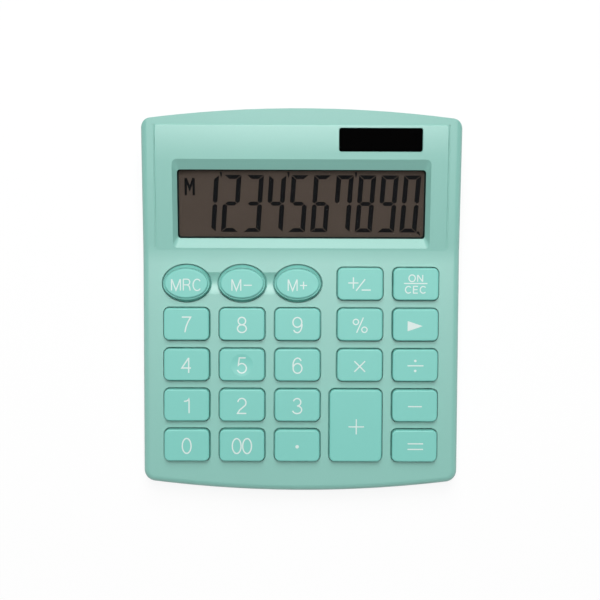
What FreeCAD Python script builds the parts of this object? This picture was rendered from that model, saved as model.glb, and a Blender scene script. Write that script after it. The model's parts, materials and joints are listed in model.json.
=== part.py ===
import FreeCAD, Part
import math
import os

# Desktop calculator with a sloping key deck, a raised display panel and a solar strip.
# Millimetres. +X to the user's right, +Y away from the user, +Z up, feet standing on z = 0.
# The case is worked out from the inside: keys, board and screw posts set its width and length.

# Case walls and outline
wall = 1.8
floor_thickness = 1.6
end_bow = 3.4
front_corner_radius = 3.9
least_corner_radius = 0.3
rear_corner_radius = 3.6
top_edge_radius = 2.0
bottom_edge_radius = 1.5
lower_wall_height = 4.0
lower_reveal = 0.25
tongue_height = 1.2
tongue_clearance = 0.15

# Slopes of the top in degrees, and the rounding between them
deck_slope = 4.0
band_slope = 9.8
panel_slope = 10.9
fold_radius = 55.0
panel_roll_radius = 105.0
rear_band = 5.05
side_band = 4.4

# Raised display panel
panel_edge_radius = 0.35
panel_corner_radius = 0.8
groove_width = 0.35
groove_depth = 0.3

# Keys
key_width = 14.8
key_length = 10.5
key_gap_x = 3.35
key_gap_y = 2.83
key_corner_radius = 1.8
key_edge_radius = 0.5
key_rise = 2.2
key_clearance = 0.4
key_wall = 1.0
key_cap_thickness = 1.2
key_rib = 1.0
plunger_diameter = 5.0
plus_key_extra = 2.4
dish_diameter = 7.2
dish_depth = 0.25
oval_swell_x = 0.4
oval_swell_y = 0.75
oval_draw_x = 0.3
oval_draw_y = 0.75
oval_step = 0.3
oval_land = 0.1
oval_groove_width = 0.3
oval_groove_depth = 0.8
flange_retain = 0.5
flange_thickness = 0.7
flange_play = 0.2
key_travel = 1.3

# Shallow troughs in the deck between the oval keys
trough_width = 7.2
trough_depth = 0.9

# Rubber keypad and circuit board
dome_base_diameter = 8.6
dome_top_diameter = 5.4
dome_skin = 0.5
dome_gap = 0.05
dome_crush = 0.3
sheet_thickness = 0.7
board_thickness = 1.0
board_rim = 0.3
board_gap = 0.6
ribbon_land = 2.0
under_board_gap = 1.4
board_boss_diameter = 3.0
boss_clearance = 0.4

# Screws
screw_shank_diameter = 1.6
screw_fit = 0.05
screw_head_diameter = 3.0
screw_head_height = 0.9
screw_cross_width = 0.5
screw_cross_depth = 0.4
screw_hole_spare = 0.3
board_screw_length = 3.6
holder_screw_length = 4.0
case_boss_diameter = 4.8
boss_embed = 0.5
boss_gap = 0.3
case_screw_length = 4.6
case_screw_seat = 1.8
case_head_recess = 1.4
head_clearance = 0.4

# Liquid crystal display and its recess
fold_to_keys = 4.4
fold_to_recess = 1.9
bevel_front = 2.9
bevel_rear = 3.55
bevel_side = 1.45
bevel_depth = 1.8
window_length = 22.5
window_margin = 5.55
window_corner_radius = 1.0
recess_corner_radius = 1.6
ledge_depth = 2.4
ledge_margin = 1.4
lens_overlap = 2.2
lens_thickness = 1.2
lens_clearance = 0.15
gasket_thickness = 0.4
gasket_setback = 0.6
glass_thickness = 1.0
contact_ledge = 2.2
reflector_thickness = 0.3
holder_plate = 1.2
holder_wall = 1.0
holder_fit = 0.2
holder_ear_radius = 2.2
holder_ear_inset = 9.0
ribbon_width = 60.0
ribbon_thickness = 0.15

# Solar strip
solar_width = 26.8
solar_length = 7.5
solar_gap_front = 2.4
solar_gap_rear = 1.1
solar_side_margin = 8.5
solar_corner_radius = 0.7
solar_chamfer = 0.35
solar_depth = 0.8
solar_overlap_x = 0.8
solar_overlap_y = 0.5
solar_window_thickness = 1.0
solar_cell_thickness = 1.1
solar_fit = 0.1
wire_diameter = 1.0
wire_spacing = 4.0
wire_lead = 2.2
wire_bend_radius = 1.6

# Pieces under the board
blob_diameter = 12.0
blob_height = 1.4
cell_diameter = 11.6
cell_height = 3.05
contact_thickness = 0.3
contact_width = 6.0
clip_fit = 0.4
capacitor_diameter = 4.0
capacitor_height = 3.4
chip_length = 2.0
chip_width = 1.25
chip_height = 0.8
chip_pitch = 4.0
chips_in_row = 4

# Rubber feet and the bare panel moulded in the floor
foot_height = 1.0
foot_diameter = 9.0
foot_seat_depth = 0.5
foot_seat_fit = 0.15
foot_edge_radius = 0.4
foot_inset = 12.0
plate_width = 44.0
plate_length = 22.0
plate_depth = 0.3
plate_corner_radius = 2.0

# Extra reach of a cutting tool past the face that it cuts, and how near two levels count as one
reach = 1.0
near = 0.01

Vector = FreeCAD.Vector
X_AXIS = Vector(1, 0, 0)

deck_angle = math.radians(deck_slope)
band_angle = math.radians(band_slope)
panel_angle = math.radians(panel_slope)

# Levels below the deck, measured square to it
flange_lip = key_clearance + flange_retain
key_bottom = -(wall + flange_play + flange_thickness)
dome_top = key_bottom - dome_gap
sheet_top = dome_top - key_travel - dome_crush
board_top = sheet_top - sheet_thickness
board_bottom = board_top - board_thickness

# Levels below the panel, measured square to it
lens_top = -ledge_depth
gasket_top = lens_top - lens_thickness
front_glass_top = gasket_top - gasket_thickness
rear_glass_top = front_glass_top - glass_thickness
reflector_top = rear_glass_top - glass_thickness
holder_top = reflector_top - reflector_thickness
holder_bottom = holder_top - holder_plate

# Key grid: columns in x, rows in distance up the deck from the fold, which is zero
wide_gap = board_boss_diameter + 2 * (flange_lip + boss_clearance)
block_half = (5 * key_width + 3 * key_gap_x + wide_gap) / 2
column_step = key_width + key_gap_x
row_step = key_length + key_gap_y
left_column = -block_half + key_width / 2
fourth_column = left_column + 2 * column_step + key_width + wide_gap
column_x = [left_column, left_column + column_step, left_column + 2 * column_step,
            fourth_column, fourth_column + column_step]
row_y = [-fold_to_keys - key_length / 2 - row * row_step for row in range(5)]
keys_front = row_y[4] - key_length / 2
mat_half = block_half + flange_lip
mat_front = keys_front - flange_lip
mat_rear = row_y[0] + key_length / 2 + oval_swell_y + flange_lip
board_front = mat_front - board_rim
board_rear = mat_rear + ribbon_land
board_boss_x = mat_half + boss_clearance + board_boss_diameter / 2
board_half = board_boss_x + board_boss_diameter / 2 + board_rim
case_half = board_half + board_gap + wall

# Display layout: distance up the panel from the fold
recess_front = fold_to_recess
window_front = recess_front + bevel_front
window_rear = window_front + window_length
recess_rear = window_rear + bevel_rear
panel_half = case_half - side_band
window_half = panel_half - window_margin - bevel_side
lens_half = window_half + lens_overlap
lens_front = window_front - lens_overlap
lens_rear = window_rear + lens_overlap
glass_front = lens_front - contact_ledge

# The bow of the front and rear edges
bow_radius = (case_half ** 2 + end_bow ** 2) / (2 * end_bow)
case_boss_x = case_half - wall - case_boss_diameter / 2 + boss_embed


def bow_at(x):
    """How far the bowed edge has drawn back at x from its middle."""
    return bow_radius - math.sqrt(bow_radius ** 2 - x ** 2)


def sloped(distance, height, angle):
    """Plan y and z, from the fold, of a point on a slope."""
    return (distance * math.cos(angle) - height * math.sin(angle),
            distance * math.sin(angle) + height * math.cos(angle))


# Lengths from the fold, in plan
board_front_y = sloped(board_front, board_top, deck_angle)[0]
board_rear_y = sloped(board_rear, board_bottom, deck_angle)[0]
front_boss = board_front_y - boss_gap - case_boss_diameter / 2
front_edge = front_boss - case_boss_diameter / 2 + boss_embed - wall - bow_at(case_boss_x)
middle_boss = board_rear_y + boss_gap + case_boss_diameter / 2
roll_start = recess_rear * math.cos(panel_angle)
solar_middle = roll_start + solar_gap_front + solar_length / 2
panel_rear = roll_start + solar_gap_front + solar_length + solar_gap_rear
rear_edge = panel_rear + rear_band
rear_boss = rear_edge - bow_at(case_boss_x) - wall - case_boss_diameter / 2 + boss_embed

# The fold line is placed so that the middle of the case is y = 0
case_length = rear_edge - front_edge
fold_y = -(rear_edge + front_edge) / 2
floor_top = foot_height + floor_thickness
fold_z = floor_top + under_board_gap - sloped(board_front, board_bottom, deck_angle)[1]
parting_z = foot_height + lower_wall_height
boss_split_z = foot_height + case_head_recess + case_screw_seat
ceiling_z = fold_z + case_length

deck_place = FreeCAD.Placement(Vector(0, fold_y, fold_z), FreeCAD.Rotation(X_AXIS, deck_slope))
panel_place = FreeCAD.Placement(Vector(0, fold_y, fold_z), FreeCAD.Rotation(X_AXIS, panel_slope))


def normal(angle):
    """Unit normal, in the side view, of a slope that rises to the rear."""
    return Vector(0, -math.sin(angle), math.cos(angle))


def along(angle):
    """Unit direction, in the side view, up a slope that rises to the rear."""
    return Vector(0, math.cos(angle), math.sin(angle))


# The fold and the roll of the panel in the side view
fold_point = Vector(0, fold_y, fold_z)
half_turn_of_fold = (band_angle - deck_angle) / 2
fold_reach = fold_radius / math.cos(half_turn_of_fold)
fold_centre = fold_point + normal(deck_angle + half_turn_of_fold) * fold_reach
panel_roll_point = fold_point + along(panel_angle) * recess_rear
panel_roll_centre = panel_roll_point - normal(panel_angle) * panel_roll_radius


def roll_angle(centre, radius, y):
    """Slope of a roll at plan y."""
    return math.asin((centre.y - y) / radius)


solar_angle = roll_angle(panel_roll_centre, panel_roll_radius, fold_y + solar_middle)
solar_x = panel_half - solar_side_margin - solar_width / 2
solar_origin = panel_roll_centre + normal(solar_angle) * panel_roll_radius + Vector(solar_x, 0, 0)
solar_place = FreeCAD.Placement(solar_origin, FreeCAD.Rotation(X_AXIS, math.degrees(solar_angle)))
solar_seat_place = FreeCAD.Placement(solar_origin, FreeCAD.Rotation(X_AXIS, panel_slope))


# Shape helpers

def placed(place, shape):
    moved = shape.copy()
    moved.Placement = place.multiply(moved.Placement)
    return moved


def point_on(place, x, y, z):
    """A point of a sloped frame in the frame of the whole part."""
    return place.multVec(Vector(x, y, z))


def fuse(shapes):
    return shapes[0].multiFuse(shapes[1:])


def upright_edges(shape):
    chosen = []
    for edge in shape.Edges:
        start, end = edge.Vertexes[0].Point, edge.Vertexes[-1].Point
        if abs(end.x - start.x) < 1e-6 and abs(end.y - start.y) < 1e-6:
            chosen.append(edge)
    return chosen


def rounded_box(width, length, radius, low, high, x=0.0, y=0.0):
    box = Part.makeBox(width, length, high - low, Vector(x - width / 2, y - length / 2, low))
    return box.makeFillet(radius, upright_edges(box))


def rounded_wire(width, length, radius, level, x=0.0, y=0.0):
    """Closed outline of a rounded rectangle at one level."""
    face = [f for f in rounded_box(width, length, radius, level, level + reach, x, y).Faces
            if f.normalAt(0, 0).z < -0.9][0]
    return face.OuterWire


def ellipse_wire(width, length, level):
    return Part.Wire(Part.Ellipse(Vector(0, 0, level), width / 2, length / 2).toShape())


def ellipse_prism(width, length, low, high):
    return Part.Face(ellipse_wire(width, length, low)).extrude(Vector(0, 0, high - low))


def cylinder(diameter, low, high, x=0.0, y=0.0):
    return Part.makeCylinder(diameter / 2, high - low, Vector(x, y, low))


def is_wall(face):
    low_u, high_u, low_v, high_v = face.ParameterRange
    return abs(face.normalAt((low_u + high_u) / 2, (low_v + high_v) / 2).z) < 1e-3


def rim_edges(shape, lowest, highest):
    """Edges between an upright face and one that isn't, between two levels."""
    chosen = []
    for edge in shape.Edges:
        faces = shape.ancestorsOfType(edge, Part.Face)
        walls = [face for face in faces if is_wall(face)]
        middle = edge.valueAt((edge.FirstParameter + edge.LastParameter) / 2)
        if len(faces) == 2 and len(walls) == 1 and lowest < middle.z < highest:
            chosen.append(edge)
    return chosen


def case_outline(inset, low, high, spare=0.0):
    """Upright prism of the case outline, drawn in by inset and made longer at the rear by spare."""
    half = case_half - inset
    radius = bow_radius - inset
    front = fold_y + front_edge + inset
    rear = fold_y + rear_edge - inset + spare
    corner_draw = radius - math.sqrt(radius ** 2 - half ** 2)
    front_left = Vector(-half, front + corner_draw, low)
    front_right = Vector(half, front + corner_draw, low)
    rear_right = Vector(half, rear - corner_draw, low)
    rear_left = Vector(-half, rear - corner_draw, low)
    edges = [Part.Arc(front_left, Vector(0, front, low), front_right).toShape(),
             Part.LineSegment(front_right, rear_right).toShape(),
             Part.Arc(rear_right, Vector(0, rear, low), rear_left).toShape(),
             Part.LineSegment(rear_left, front_left).toShape()]
    prism = Part.Face(Part.Wire(edges)).extrude(Vector(0, 0, high - low))
    for corner_y, corner_radius in ((front_left.y, front_corner_radius), (rear_left.y, rear_corner_radius)):
        corners = [e for e in upright_edges(prism) if abs(e.Vertexes[0].Y - corner_y) < near]
        prism = prism.makeFillet(max(corner_radius - inset, least_corner_radius), corners)
    return prism


def side_prism(edges, half):
    """Solid between x = -half and x = half from a side view of edges at x = -half."""
    return Part.Face(Part.Wire(edges)).extrude(Vector(2 * half, 0, 0))


def top_prism(drop, half):
    """Everything under the case top, or under a surface that lies drop below it."""
    shift = Vector(-half, 0, 0)
    front = fold_point - along(deck_angle) * case_length - normal(deck_angle) * drop
    fold_low = fold_centre - normal(deck_angle) * (fold_radius + drop)
    fold_mid = fold_centre - normal(deck_angle + half_turn_of_fold) * (fold_radius + drop)
    fold_high = fold_centre - normal(band_angle) * (fold_radius + drop)
    rear = fold_point + along(band_angle) * case_length - normal(band_angle) * drop
    base_rear = Vector(0, rear.y, -case_length)
    base_front = Vector(0, front.y, -case_length)
    edges = [Part.LineSegment(front + shift, fold_low + shift).toShape(),
             Part.Arc(fold_low + shift, fold_mid + shift, fold_high + shift).toShape(),
             Part.LineSegment(fold_high + shift, rear + shift).toShape(),
             Part.LineSegment(rear + shift, base_rear + shift).toShape(),
             Part.LineSegment(base_rear + shift, base_front + shift).toShape(),
             Part.LineSegment(base_front + shift, front + shift).toShape()]
    return side_prism(edges, half)


def raised_panel():
    """The display panel, which stands proud of the case top and fades out at the fold."""
    shift = Vector(-panel_half, 0, 0)
    end_angle = roll_angle(panel_roll_centre, panel_roll_radius, fold_y + panel_rear)
    roll_mid = panel_roll_centre + normal((panel_angle + end_angle) / 2) * panel_roll_radius
    roll_end = panel_roll_centre + normal(end_angle) * panel_roll_radius
    low = fold_z - wall / 2
    foot_rear = Vector(0, roll_end.y, low)
    foot_front = Vector(0, fold_y, low)
    edges = [Part.LineSegment(fold_point + shift, panel_roll_point + shift).toShape(),
             Part.Arc(panel_roll_point + shift, roll_mid + shift, roll_end + shift).toShape(),
             Part.LineSegment(roll_end + shift, foot_rear + shift).toShape(),
             Part.LineSegment(foot_rear + shift, foot_front + shift).toShape(),
             Part.LineSegment(foot_front + shift, fold_point + shift).toShape()]
    block = side_prism(edges, panel_half)
    corners = [e for e in upright_edges(block) if e.Vertexes[0].Y > roll_end.y - near]
    block = block.makeFillet(panel_corner_radius, corners)
    return block.makeFillet(panel_edge_radius, rim_edges(block, fold_z + near, ceiling_z))


def panel_grooves():
    """A fine groove along each side of the raised panel."""
    start = fold_point + along(band_angle) * recess_front
    end = Vector(0, fold_y + panel_rear, 0)
    sunk = normal(band_angle) * groove_depth
    groove_end = fold_point + along(band_angle) * ((end.y - fold_y) / math.cos(band_angle))
    grooves = []
    for x in (-panel_half - groove_width, panel_half):
        corners = [start - sunk, groove_end - sunk, groove_end + normal(band_angle) * ledge_depth,
                   start + normal(band_angle) * ledge_depth, start - sunk]
        face = Part.Face(Part.makePolygon([corner + Vector(x, 0, 0) for corner in corners]))
        grooves.append(face.extrude(Vector(groove_width, 0, 0)))
    return grooves


# Screws: the head's seat is at the origin and the shank points up

def screw(length):
    head = cylinder(screw_head_diameter, -screw_head_height, 0)
    shank = cylinder(screw_shank_diameter, 0, length)
    body = fuse([head, shank]).removeSplitter()
    blade = screw_head_diameter * 2 / 3
    for width, depth in ((blade, screw_cross_width), (screw_cross_width, blade)):
        body = body.cut(Part.makeBox(width, depth, screw_cross_depth,
                                     Vector(-width / 2, -depth / 2, -screw_head_height)))
    return body


def screw_bore(length):
    """Bore for a shank, with a little spare depth past its tip."""
    return cylinder(screw_shank_diameter + 2 * screw_fit, -reach, length + screw_hole_spare)


def at(place, x, y, z):
    """A sloped frame moved to a point of its own."""
    return place.multiply(FreeCAD.Placement(Vector(x, y, z), FreeCAD.Rotation()))


wide_gap_x = fourth_column - (key_width + wide_gap) / 2
row_gap_y = [(row_y[i] + row_y[i + 1]) / 2 for i in range(4)]
board_screw_spots = [(side * board_boss_x, y) for side in (-1, 1)
                     for y in (row_gap_y[0], row_gap_y[1], row_gap_y[3])]
board_screw_spots += [(wide_gap_x, row_gap_y[0]), (wide_gap_x, row_gap_y[1])]
holder_ear_x = lens_half + holder_fit + holder_wall + holder_ear_radius
holder_ear_y = [window_front + holder_ear_inset, window_rear - holder_ear_radius]
holder_screw_spots = [(side * holder_ear_x, y) for side in (-1, 1) for y in holder_ear_y]
case_screw_spots = [(side * case_boss_x, fold_y + y) for side in (-1, 1)
                    for y in (front_boss, middle_boss, rear_boss)]
board_screw_places = [at(deck_place, x, y, board_bottom) for x, y in board_screw_spots]
holder_screw_places = [at(panel_place, x, y, holder_bottom) for x, y in holder_screw_spots]
case_screw_places = [FreeCAD.Placement(Vector(x, y, boss_split_z - case_screw_seat), FreeCAD.Rotation())
                     for x, y in case_screw_spots]


# Keys: each is made about its own centre on the deck surface

def oval_base():
    return key_width + 2 * oval_swell_x, key_length + 2 * oval_swell_y


def key_body(kind, width, length):
    """Outside of a key from its flange to its top, with rounded top edges."""
    if kind == "oval":
        rim_width, rim_length = width - 2 * oval_draw_x, length - 2 * oval_draw_y
        rim = ellipse_wire(rim_width, rim_length, key_rise - oval_step)
        skirt = Part.makeLoft([ellipse_wire(width, length, 0), rim], True, True)
        inset = 2 * (oval_land + oval_groove_width)
        groove = ellipse_prism(rim_width - 2 * oval_land, rim_length - 2 * oval_land,
                               key_rise - oval_groove_depth, key_rise)
        face = ellipse_prism(rim_width - inset, rim_length - inset, 0, key_rise)
        skirted = fuse([ellipse_prism(width, length, key_bottom, 0), skirt])
        body = skirted.cut(groove).fuse(face).removeSplitter()
    else:
        body = rounded_box(width, length, key_corner_radius, key_bottom, key_rise)
    tops = [e for e in body.Edges if min(v.Z for v in e.Vertexes) > key_rise - near]
    return body.makeFillet(key_edge_radius, tops)


def key_flange(kind, width, length):
    lip_top = key_bottom + flange_thickness
    if kind == "oval":
        return ellipse_prism(width + 2 * flange_lip, length + 2 * flange_lip - flange_retain,
                             key_bottom, lip_top)
    return rounded_box(width + 2 * flange_lip, length + 2 * flange_lip, key_corner_radius + flange_lip,
                       key_bottom, lip_top)


def key_hollow(kind, width, length):
    """Space under a key's cap, crossed by two ribs that meet at the plunger."""
    low = key_bottom - reach
    high = key_rise - key_cap_thickness
    if kind == "oval":
        hollow = ellipse_prism(width - 2 * (key_wall + oval_draw_x),
                               length - 2 * (key_wall + oval_draw_y), low, high)
    else:
        hollow = rounded_box(width - 2 * key_wall, length - 2 * key_wall, key_corner_radius / 2, low, high)
    across = Part.makeBox(width, key_rib, high - low, Vector(-width / 2, -key_rib / 2, low))
    lengthwise = Part.makeBox(key_rib, length, high - low, Vector(-key_rib / 2, -length / 2, low))
    return hollow.cut(fuse([across, lengthwise, cylinder(plunger_diameter, low, high)]))


def make_key(kind, width, length):
    key = fuse([key_body(kind, width, length), key_flange(kind, width, length)])
    return key.cut(key_hollow(kind, width, length)).removeSplitter()


def finger_dish():
    """Shallow round dish that marks the middle digit key."""
    radius = ((dish_diameter / 2) ** 2 + dish_depth ** 2) / (2 * dish_depth)
    return Part.makeSphere(radius, Vector(0, 0, key_rise + radius - dish_depth))


def key_table():
    """Name, kind, width, length and centre of every key."""
    names = [["key_mrc", "key_m_minus", "key_m_plus", "key_sign", "key_on"],
             ["key_7", "key_8", "key_9", "key_percent", "key_back"],
             ["key_4", "key_5", "key_6", "key_multiply", "key_divide"],
             ["key_1", "key_2", "key_3", "key_plus", "key_minus"],
             ["key_0", "key_00", "key_point", "", "key_equals"]]
    table = []
    for row, row_names in enumerate(names):
        for column, name in enumerate(row_names):
            kind, width, length = "block", key_width, key_length
            x, y = column_x[column], row_y[row]
            if row == 0 and column < 3:
                kind = "oval"
                width, length = oval_base()
            if name == "key_plus":
                width, length = key_width + plus_key_extra, row_step + key_length
                x, y = x - plus_key_extra / 2, row_gap_y[3]
            if name:
                table.append((name, kind, width, length, x, y))
    return table


keys = key_table()


# Upper cabinet

def key_openings():
    cuts = []
    for name, kind, width, length, x, y in keys:
        hole_width, hole_length = width + 2 * key_clearance, length + 2 * key_clearance
        if kind == "oval":
            hole = ellipse_prism(hole_width, hole_length, -wall - reach, key_rise)
        else:
            hole = rounded_box(hole_width, hole_length, key_corner_radius + key_clearance,
                               -wall - reach, key_rise)
        cuts.append(placed(at(deck_place, x, y, 0), hole))
    return cuts


def troughs():
    """Round-bottomed troughs that run from oval to oval."""
    radius = ((trough_width / 2) ** 2 + trough_depth ** 2) / (2 * trough_depth)
    cuts = []
    for left, right in ((column_x[0], column_x[1]), (column_x[1], column_x[2])):
        bar = Part.makeCylinder(radius, right - left, Vector(left, row_y[0], radius - trough_depth), X_AXIS)
        cuts.append(placed(deck_place, bar))
    return cuts


def display_cuts():
    """Bevelled recess, window opening and the flat seat that the lens is bedded in."""
    middle = (window_front + window_rear) / 2
    recess_middle = (recess_front + recess_rear) / 2
    outer_size = (2 * (window_half + bevel_side), recess_rear - recess_front)
    inner_size = (2 * window_half, window_length)
    mouth = rounded_box(*outer_size, recess_corner_radius, 0, ledge_depth, 0, recess_middle)
    bevel = Part.makeLoft([rounded_wire(*outer_size, recess_corner_radius, 0, 0, recess_middle),
                           rounded_wire(*inner_size, window_corner_radius, -bevel_depth, 0, middle)],
                          True, True)
    opening = rounded_box(*inner_size, window_corner_radius, -ledge_depth - reach, -bevel_depth, 0, middle)
    seat = Part.makeBox(2 * (lens_half + lens_clearance), lens_rear - lens_front + 2 * lens_clearance,
                        -holder_bottom, Vector(-lens_half - lens_clearance, lens_front - lens_clearance,
                                               lens_top + holder_bottom))
    return [placed(panel_place, cut) for cut in (mouth, bevel, opening, seat)]


def solar_cuts():
    """Chamfered opening of the solar strip and, level with the display, the seat behind it."""
    wide = rounded_wire(solar_width + 2 * solar_chamfer, solar_length + 2 * solar_chamfer,
                        solar_corner_radius + solar_chamfer, solar_chamfer)
    narrow = rounded_wire(solar_width, solar_length, solar_corner_radius, -solar_chamfer)
    mouth = Part.makeLoft([wide, narrow], True, True)
    opening = rounded_box(solar_width, solar_length, solar_corner_radius, -solar_depth - reach, reach)
    seat_width = solar_width + 2 * (solar_overlap_x + solar_fit)
    seat_length = solar_length + 2 * (solar_overlap_y + solar_fit)
    seat = rounded_box(seat_width, seat_length, solar_corner_radius, holder_bottom, -solar_depth)
    return [placed(solar_place, mouth), placed(solar_place, opening), placed(solar_seat_place, seat)]


def cabinet_bosses(outer):
    """Posts under the top: for the board, the display holder and the case screws."""
    posts = []
    for x, y in board_screw_spots:
        posts.append(placed(deck_place, cylinder(board_boss_diameter, board_top, -wall / 2, x, y)))
    for x, y in holder_screw_spots:
        posts.append(placed(panel_place, cylinder(board_boss_diameter, holder_top, -wall / 2, x, y)))
    tongue_top = parting_z + tongue_height + tongue_clearance
    inside = case_outline(wall + tongue_clearance, foot_height, tongue_top)
    for x, y in case_screw_spots:
        posts.append(cylinder(case_boss_diameter, boss_split_z, tongue_top, x, y).common(inside))
        posts.append(cylinder(case_boss_diameter, tongue_top, ceiling_z, x, y).common(outer))
    return posts


def boss_bores():
    bores = []
    for place in board_screw_places:
        bores.append(placed(place, screw_bore(board_screw_length)))
    for place in holder_screw_places:
        bores.append(placed(place, screw_bore(holder_screw_length)))
    for place in case_screw_places:
        bores.append(placed(place, screw_bore(case_screw_length)))
    return bores


def cabinet_block():
    """Solid body of the upper cabinet: top edges rounded at the front and sides, crisp at the rear."""
    spare = rear_corner_radius + 2 * top_edge_radius
    block = case_outline(0, parting_z, ceiling_z, spare).common(top_prism(0, case_half + reach))
    block = block.makeFillet(top_edge_radius, rim_edges(block, parting_z + reach, ceiling_z))
    return block.common(case_outline(0, parting_z, ceiling_z))


def make_upper_cabinet():
    block = cabinet_block()
    outer = block.fuse(raised_panel()).cut(Part.makeCompound(panel_grooves()))
    inner = case_outline(wall, parting_z - reach, ceiling_z).common(top_prism(wall, case_half + reach))
    rebate = case_outline(wall / 2, parting_z - reach, parting_z + tongue_height + tongue_clearance)
    ledge = rounded_box(2 * (lens_half + ledge_margin), lens_rear - lens_front + 2 * ledge_margin,
                        recess_corner_radius, lens_top, -wall / 2, 0, (lens_front + lens_rear) / 2)
    shell = outer.cut(inner).cut(rebate)
    shell = shell.fuse([placed(panel_place, ledge)] + cabinet_bosses(outer))
    cuts = key_openings() + troughs() + display_cuts() + solar_cuts() + boss_bores()
    return shell.cut(cuts).removeSplitter()


# Lower cabinet, feet and case screws

def foot_spots():
    x = case_half - foot_inset
    front, rear = fold_y + front_edge + foot_inset, fold_y + rear_edge - foot_inset
    return [(side * x, y) for side in (-1, 1) for y in (front, rear)]


def make_lower_cabinet():
    shell = case_outline(lower_reveal, foot_height, parting_z)
    shell = shell.makeFillet(bottom_edge_radius, rim_edges(shell, foot_height - reach, foot_height + reach))
    shell = shell.cut(case_outline(wall, floor_top, parting_z + reach))
    tongue = case_outline(wall / 2 + tongue_clearance, parting_z - reach, parting_z + tongue_height)
    tongue = tongue.cut(case_outline(wall, parting_z - 2 * reach, parting_z + 2 * tongue_height))
    posts = []
    inside = case_outline(wall, foot_height, parting_z)
    for x, y in case_screw_spots:
        post = cylinder(case_boss_diameter, floor_top - floor_thickness / 2, boss_split_z, x, y)
        posts.append(post.common(inside))
    shell = shell.fuse([tongue] + posts)
    cuts = []
    for x, y in case_screw_spots:
        cuts.append(cylinder(screw_head_diameter + head_clearance, foot_height - reach,
                             foot_height + case_head_recess, x, y))
        cuts.append(cylinder(screw_shank_diameter + head_clearance, foot_height, parting_z, x, y))
    for x, y in foot_spots():
        cuts.append(cylinder(foot_diameter + 2 * foot_seat_fit, foot_height - reach,
                             foot_height + foot_seat_depth, x, y))
    cuts.append(rounded_box(plate_width, plate_length, plate_corner_radius, foot_height - reach,
                            foot_height + plate_depth))
    return shell.cut(cuts).removeSplitter()


def make_foot(x, y):
    foot = cylinder(foot_diameter, 0, foot_height + foot_seat_depth, x, y)
    lower_rim = [e for e in foot.Edges if e.Closed and e.Vertexes[0].Z < near]
    return foot.makeFillet(foot_edge_radius, lower_rim)


# Display stack

def panel_slab(low, high, half, front, rear):
    return placed(panel_place, Part.makeBox(2 * half, rear - front, high - low, Vector(-half, front, low)))


def make_gasket():
    frame = panel_slab(front_glass_top, gasket_top, lens_half, lens_front, lens_rear)
    return frame.cut(panel_slab(front_glass_top - reach, gasket_top + reach, window_half + gasket_setback,
                                window_front - gasket_setback, window_rear + gasket_setback))


def make_holder():
    """Tray that clamps the display glass up against the lens, with four screwed ears."""
    half = lens_half + holder_fit + holder_wall
    front, rear = glass_front - holder_fit - holder_wall, lens_rear + holder_fit + holder_wall
    rim_top = rear_glass_top - holder_fit
    tray = panel_slab(holder_bottom, rim_top, half, front, rear)
    tray = tray.cut(panel_slab(holder_top, rim_top + reach, half - holder_wall, front + holder_wall,
                               rear - holder_wall))
    ears = []
    for x, y in holder_screw_spots:
        ears.append(placed(panel_place, cylinder(2 * holder_ear_radius, holder_bottom, holder_top, x, y)))
        inner_x = math.copysign(half - holder_wall, x)
        bridge = Part.makeBox(abs(x - inner_x), 2 * holder_ear_radius, holder_plate,
                              Vector(min(x, inner_x), y - holder_ear_radius, holder_bottom))
        ears.append(placed(panel_place, bridge))
    bores = [placed(place, cylinder(screw_shank_diameter + head_clearance, -reach, holder_plate + reach))
             for place in holder_screw_places]
    return tray.fuse(ears).cut(bores).removeSplitter()


def make_ribbon():
    """Flat flexible strip from the board's rear rim to the contact ledge of the rear glass."""
    shift = -ribbon_width / 2
    line = [point_on(deck_place, shift, mat_rear + boss_clearance, board_top),
            point_on(deck_place, shift, board_rear, board_top),
            point_on(panel_place, shift, glass_front, rear_glass_top),
            point_on(panel_place, shift, lens_front - holder_fit, rear_glass_top)]
    upper = [point + Vector(0, 0, ribbon_thickness) for point in line]
    outline = Part.makePolygon(line + upper[::-1] + line[:1])
    return Part.Face(outline).extrude(Vector(ribbon_width, 0, 0))


# Solar strip

def make_solar_window():
    size = (solar_width + 2 * solar_overlap_x, solar_length + 2 * solar_overlap_y)
    window = rounded_box(*size, solar_corner_radius, -solar_depth - solar_window_thickness, -solar_depth)
    return placed(solar_seat_place, window)


def solar_cell_bottom():
    return -solar_depth - solar_window_thickness - solar_cell_thickness


def make_solar_cell():
    size = (solar_width + 2 * solar_overlap_x, solar_length + 2 * solar_overlap_y)
    bottom = solar_cell_bottom()
    cell = rounded_box(*size, solar_corner_radius, bottom, bottom + solar_cell_thickness)
    return placed(solar_seat_place, cell)


def bent_path(points, radius):
    """Straight runs joined by tangent arcs."""
    edges = []
    start = points[0]
    for before, corner, after in zip(points, points[1:], points[2:]):
        back = (before - corner).normalize()
        ahead = (after - corner).normalize()
        half = back.getAngle(ahead) / 2
        reach_back = radius / math.tan(half)
        middle = corner + (back + ahead).normalize() * (radius / math.sin(half) - radius)
        arc_start, arc_end = corner + back * reach_back, corner + ahead * reach_back
        edges.append(Part.LineSegment(start, arc_start).toShape())
        edges.append(Part.Arc(arc_start, middle, arc_end).toShape())
        start = arc_end
    edges.append(Part.LineSegment(start, points[-1]).toShape())
    return Part.Wire(edges)


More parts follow.
